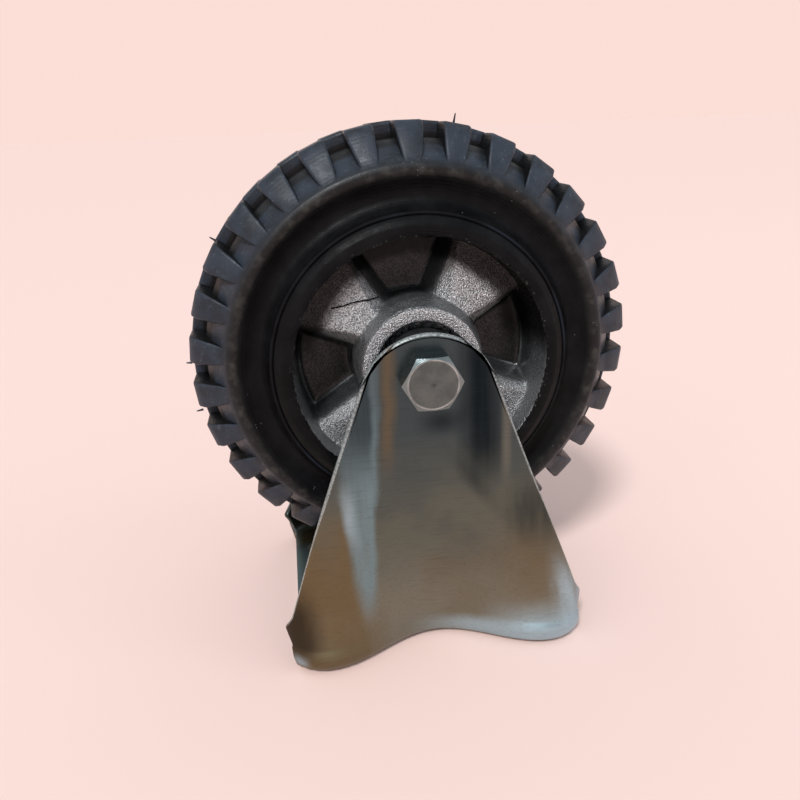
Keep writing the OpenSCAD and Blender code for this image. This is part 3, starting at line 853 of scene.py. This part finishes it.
def make_vent_hair(degrees, y, length):
    """Fine rubber hair left by a vent of the mould."""
    clear_selection()
    bpy.ops.mesh.primitive_cone_add(vertices=10, radius1=HAIR_FOOT_R, radius2=HAIR_TIP_R, depth=length)
    hair = bpy.context.object
    middle = Vector((0, y, TREAD_R - HAIR_ROOT + length / 2))
    hair.data.transform(Matrix.Translation(AXLE + middle))
    turned_about_axle(hair, math.radians(90 - degrees))
    return hair


def make_tyre():
    """Carcass with two rows of lugs, half a pitch apart, and the marks that the mould left."""
    carcass = make_carcass()
    lug = loft(lug_sections(), "lug")
    break_edges(lug, "moulded_edge", LUG_EDGE, 3, 25)
    apply_modifiers(lug)
    lugs = []
    pitch = 2 * math.pi / LUG_COUNT
    for side in (1, -1):
        for i in range(LUG_COUNT):
            copy = own_copy(lug)
            if side < 0:
                copy.data.transform(Matrix.Scale(-1, 4, (0, 1, 0)))
                copy.data.flip_normals()
            turned_about_axle(copy, (i + (0.5 if side < 0 else 0)) * pitch)
            lugs.append(copy)
    bpy.data.objects.remove(lug, do_unlink=True)
    front = join(lugs[:LUG_COUNT], "front_lugs")
    rear = join(lugs[LUG_COUNT:], "rear_lugs")
    for row in (front, rear):
        union = carcass.modifiers.new("lugs", "BOOLEAN")
        union.operation = "UNION"
        union.solver = "MANIFOLD"
        union.object = row
        apply_modifiers(carcass)
        bpy.data.objects.remove(row, do_unlink=True)
    flash = [make_bead_flash(side) for side in (-1, 1)]
    hairs = [make_vent_hair(degrees, y, length) for degrees, y, length in VENT_HAIRS]
    tyre = join([carcass] + flash + hairs, "moulded_tyre")
    smooth(tyre, 38)
    return tyre


# Wheel centre

def make_wheel_centre():
    """A casting drawn over the plain wheel centre, with its corners and edges rounded."""
    casting = own_copy(frame["nodes"]["wheel_centre"])
    casting.parent = None
    casting.matrix_world = Matrix.Identity(4)
    casting.hide_render = False
    casting.data.materials.clear()
    close_and_turn_out(casting, 1e-6)
    remesh = casting.modifiers.new("skin", "REMESH")
    remesh.mode = "VOXEL"
    remesh.voxel_size = CASTING_GRID
    soften = casting.modifiers.new("soften", "SMOOTH")
    soften.factor = 0.5
    soften.iterations = 4
    apply_modifiers(casting)
    smooth(casting, 80)
    casting.name = "cast_wheel_centre"
    return casting


def make_strand(casting):
    """Loose strand of rubber flash that lies on one spoke."""
    line = bpy.data.curves.new("rubber_strand", "CURVE")
    line.dimensions = "3D"
    line.bevel_depth = STRAND_R
    line.bevel_resolution = 2
    line.use_fill_caps = True
    path = [Vector(STRAND[0])]
    for start, end in zip(STRAND, STRAND[1:]):
        path += between(start, end, 5)
    spline = line.splines.new("POLY")
    spline.points.add(len(path) - 1)
    for point, (x, z) in zip(spline.points, path):
        before = Vector((x, -LEG_OUT, AXLE_Z + z))
        _, place, normal, _ = casting.ray_cast(before, Vector((0, 1, 0)))
        wave = Vector((0, 0, 0.0005 * noise.noise(Vector((700 * x, 3, 0)))))
        point.co = (*(place + 0.5 * STRAND_R * normal + wave), 1)
        point.radius = 0.9 + 0.6 * noise.noise(Vector((900 * x, 0, 0)))
    strand = bpy.data.objects.new("rubber_strand", line)
    bpy.context.collection.objects.link(strand)
    pick(strand)
    bpy.ops.object.convert(target="MESH")
    return bpy.context.object


# Pieces and finishes

def dress(piece, material):
    piece.data.materials.clear()
    piece.data.materials.append(material)


FINISH = {
    "zinc_sheet": zinc_sheet(), "tyre_rubber": tyre_rubber(), "cast_aluminium": cast_aluminium(),
    "zinc_fastener": zinc_fastener(), "bearing_steel": bearing_steel(), "seal_rubber": seal_rubber(),
    "nylon": nylon(),
}
for row in frame["record"]["subparts"]:
    node = frame["nodes"][row["node"]]
    dress(node, FINISH[row["material_slot"]])


def add_piece(piece, body, finish, node=None):
    dress(piece, FINISH[finish])
    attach(piece, body)
    if node:
        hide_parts(node)


for name in ("axle_bolt", "axle_nut", "nut_washer"):
    broken = break_edges(frame["nodes"][name], "broken_edge", FASTENER_EDGE, 2, 24)
    broken.harden_normals = True

add_piece(make_bracket(), "bracket", "zinc_sheet", "fork_bracket")
add_piece(make_tyre(), "wheel", "tyre_rubber", "tyre")
casting = make_wheel_centre()
strand = make_strand(casting)
add_piece(casting, "wheel", "cast_aluminium", "wheel_centre")
add_piece(strand, "wheel", "tyre_rubber")


# Floor, light and camera

def behind_or_mirrored(tree):
    """One for rays from the camera and for rays that a shiny or clear surface sends on."""
    path = tree.nodes.new("ShaderNodeLightPath")
    total = path.outputs["Is Camera Ray"]
    for name in ("Is Glossy Ray", "Is Transmission Ray"):
        both = tree.nodes.new("ShaderNodeMath")
        both.operation = "MAXIMUM"
        tree.links.new(total, both.inputs[0])
        tree.links.new(path.outputs[name], both.inputs[1])
        total = both.outputs["Value"]
    return total


def make_floor():
    clear_selection()
    bpy.ops.mesh.primitive_circle_add(vertices=96, radius=FLOOR_R, fill_type="NGON")
    floor = bpy.context.object
    floor.name = "floor"
    f = Finish("floor", roughness=1.0, specular_ior_level=0.0)
    f.colour(f.mix(behind_or_mirrored(f.tree), FLOOR_BOUNCE, FLOOR))
    dress(floor, f.material)


def make_backdrop():
    """Pale wall all round, which lights the part no more than the sky does."""
    clear_selection()
    bpy.ops.mesh.primitive_cylinder_add(vertices=128, radius=WALL_R, depth=WALL_H,
                                        end_fill_type="NOTHING", location=(0, 0, WALL_H / 2))
    wall = bpy.context.object
    wall.name = "backdrop"
    f = Finish("backdrop", roughness=1.0, specular_ior_level=0.0, base_color=(0, 0, 0, 1))
    seen = behind_or_mirrored(f.tree)
    f.link(f.mix(seen, SKY_COLOUR, BACKDROP), f.shader.inputs["Emission Color"])
    f.link(f.span(seen, 0.0, 1.0, SKY, 1.0), f.shader.inputs["Emission Strength"])
    dress(wall, f.material)


def make_world():
    world = bpy.data.worlds.new("studio")
    world.use_nodes = True
    sky = world.node_tree.nodes["Background"]
    sky.inputs["Color"].default_value = (*SKY_COLOUR, 1)
    sky.inputs["Strength"].default_value = SKY
    bpy.context.scene.world = world


def aimed(light, at):
    """Hangs a light at a place and points it at the axle."""
    bpy.context.collection.objects.link(light)
    light.location = at
    light.rotation_euler = (AXLE - Vector(at)).to_track_quat("-Z", "Y").to_euler()


def sun(name, at, strength, spread):
    data = bpy.data.lights.new(name, "SUN")
    data.energy = strength
    data.angle = math.radians(spread)
    aimed(bpy.data.objects.new(name, data), at)


def softbox(name, at, size, power, colour):
    data = bpy.data.lights.new(name, "AREA")
    data.shape = "RECTANGLE"
    data.size, data.size_y = size
    data.energy = power
    data.color = colour
    aimed(bpy.data.objects.new(name, data), at)


def make_camera():
    level = math.cos(CAMERA_ELEVATION)
    back = Vector((-math.sin(CAMERA_AZIMUTH) * level, -math.cos(CAMERA_AZIMUTH) * level,
                   math.sin(CAMERA_ELEVATION)))
    right = (-back).cross(Vector((0, 0, 1))).normalized()
    up = right.cross(-back)
    turn = Matrix((right, up, back)).transposed() @ Matrix.Rotation(CAMERA_ROLL, 3, "Z")
    data = bpy.data.cameras.new("camera")
    data.lens = CAMERA_LENS
    data.sensor_width = 36
    data.clip_start = 0.01
    camera = bpy.data.objects.new("camera", data)
    bpy.context.collection.objects.link(camera)
    camera.matrix_world = Matrix.Translation(AXLE + CAMERA_AT) @ turn.to_4x4()
    bpy.context.scene.camera = camera


make_floor()
make_backdrop()
make_world()
sun("key", at=(-0.27, -0.515, 0.814), strength=1.9, spread=11)
softbox("right_box", at=(1.4, -0.5, 0.9), size=(0.5, 1.2), power=2.2, colour=(0.72, 0.84, 1.0))
softbox("left_box", at=(-1.3, -1.15, 0.95), size=(0.4, 1.4), power=1.3, colour=(0.88, 0.95, 1.0))
make_camera()
bpy.context.scene.view_settings.view_transform = "Standard"
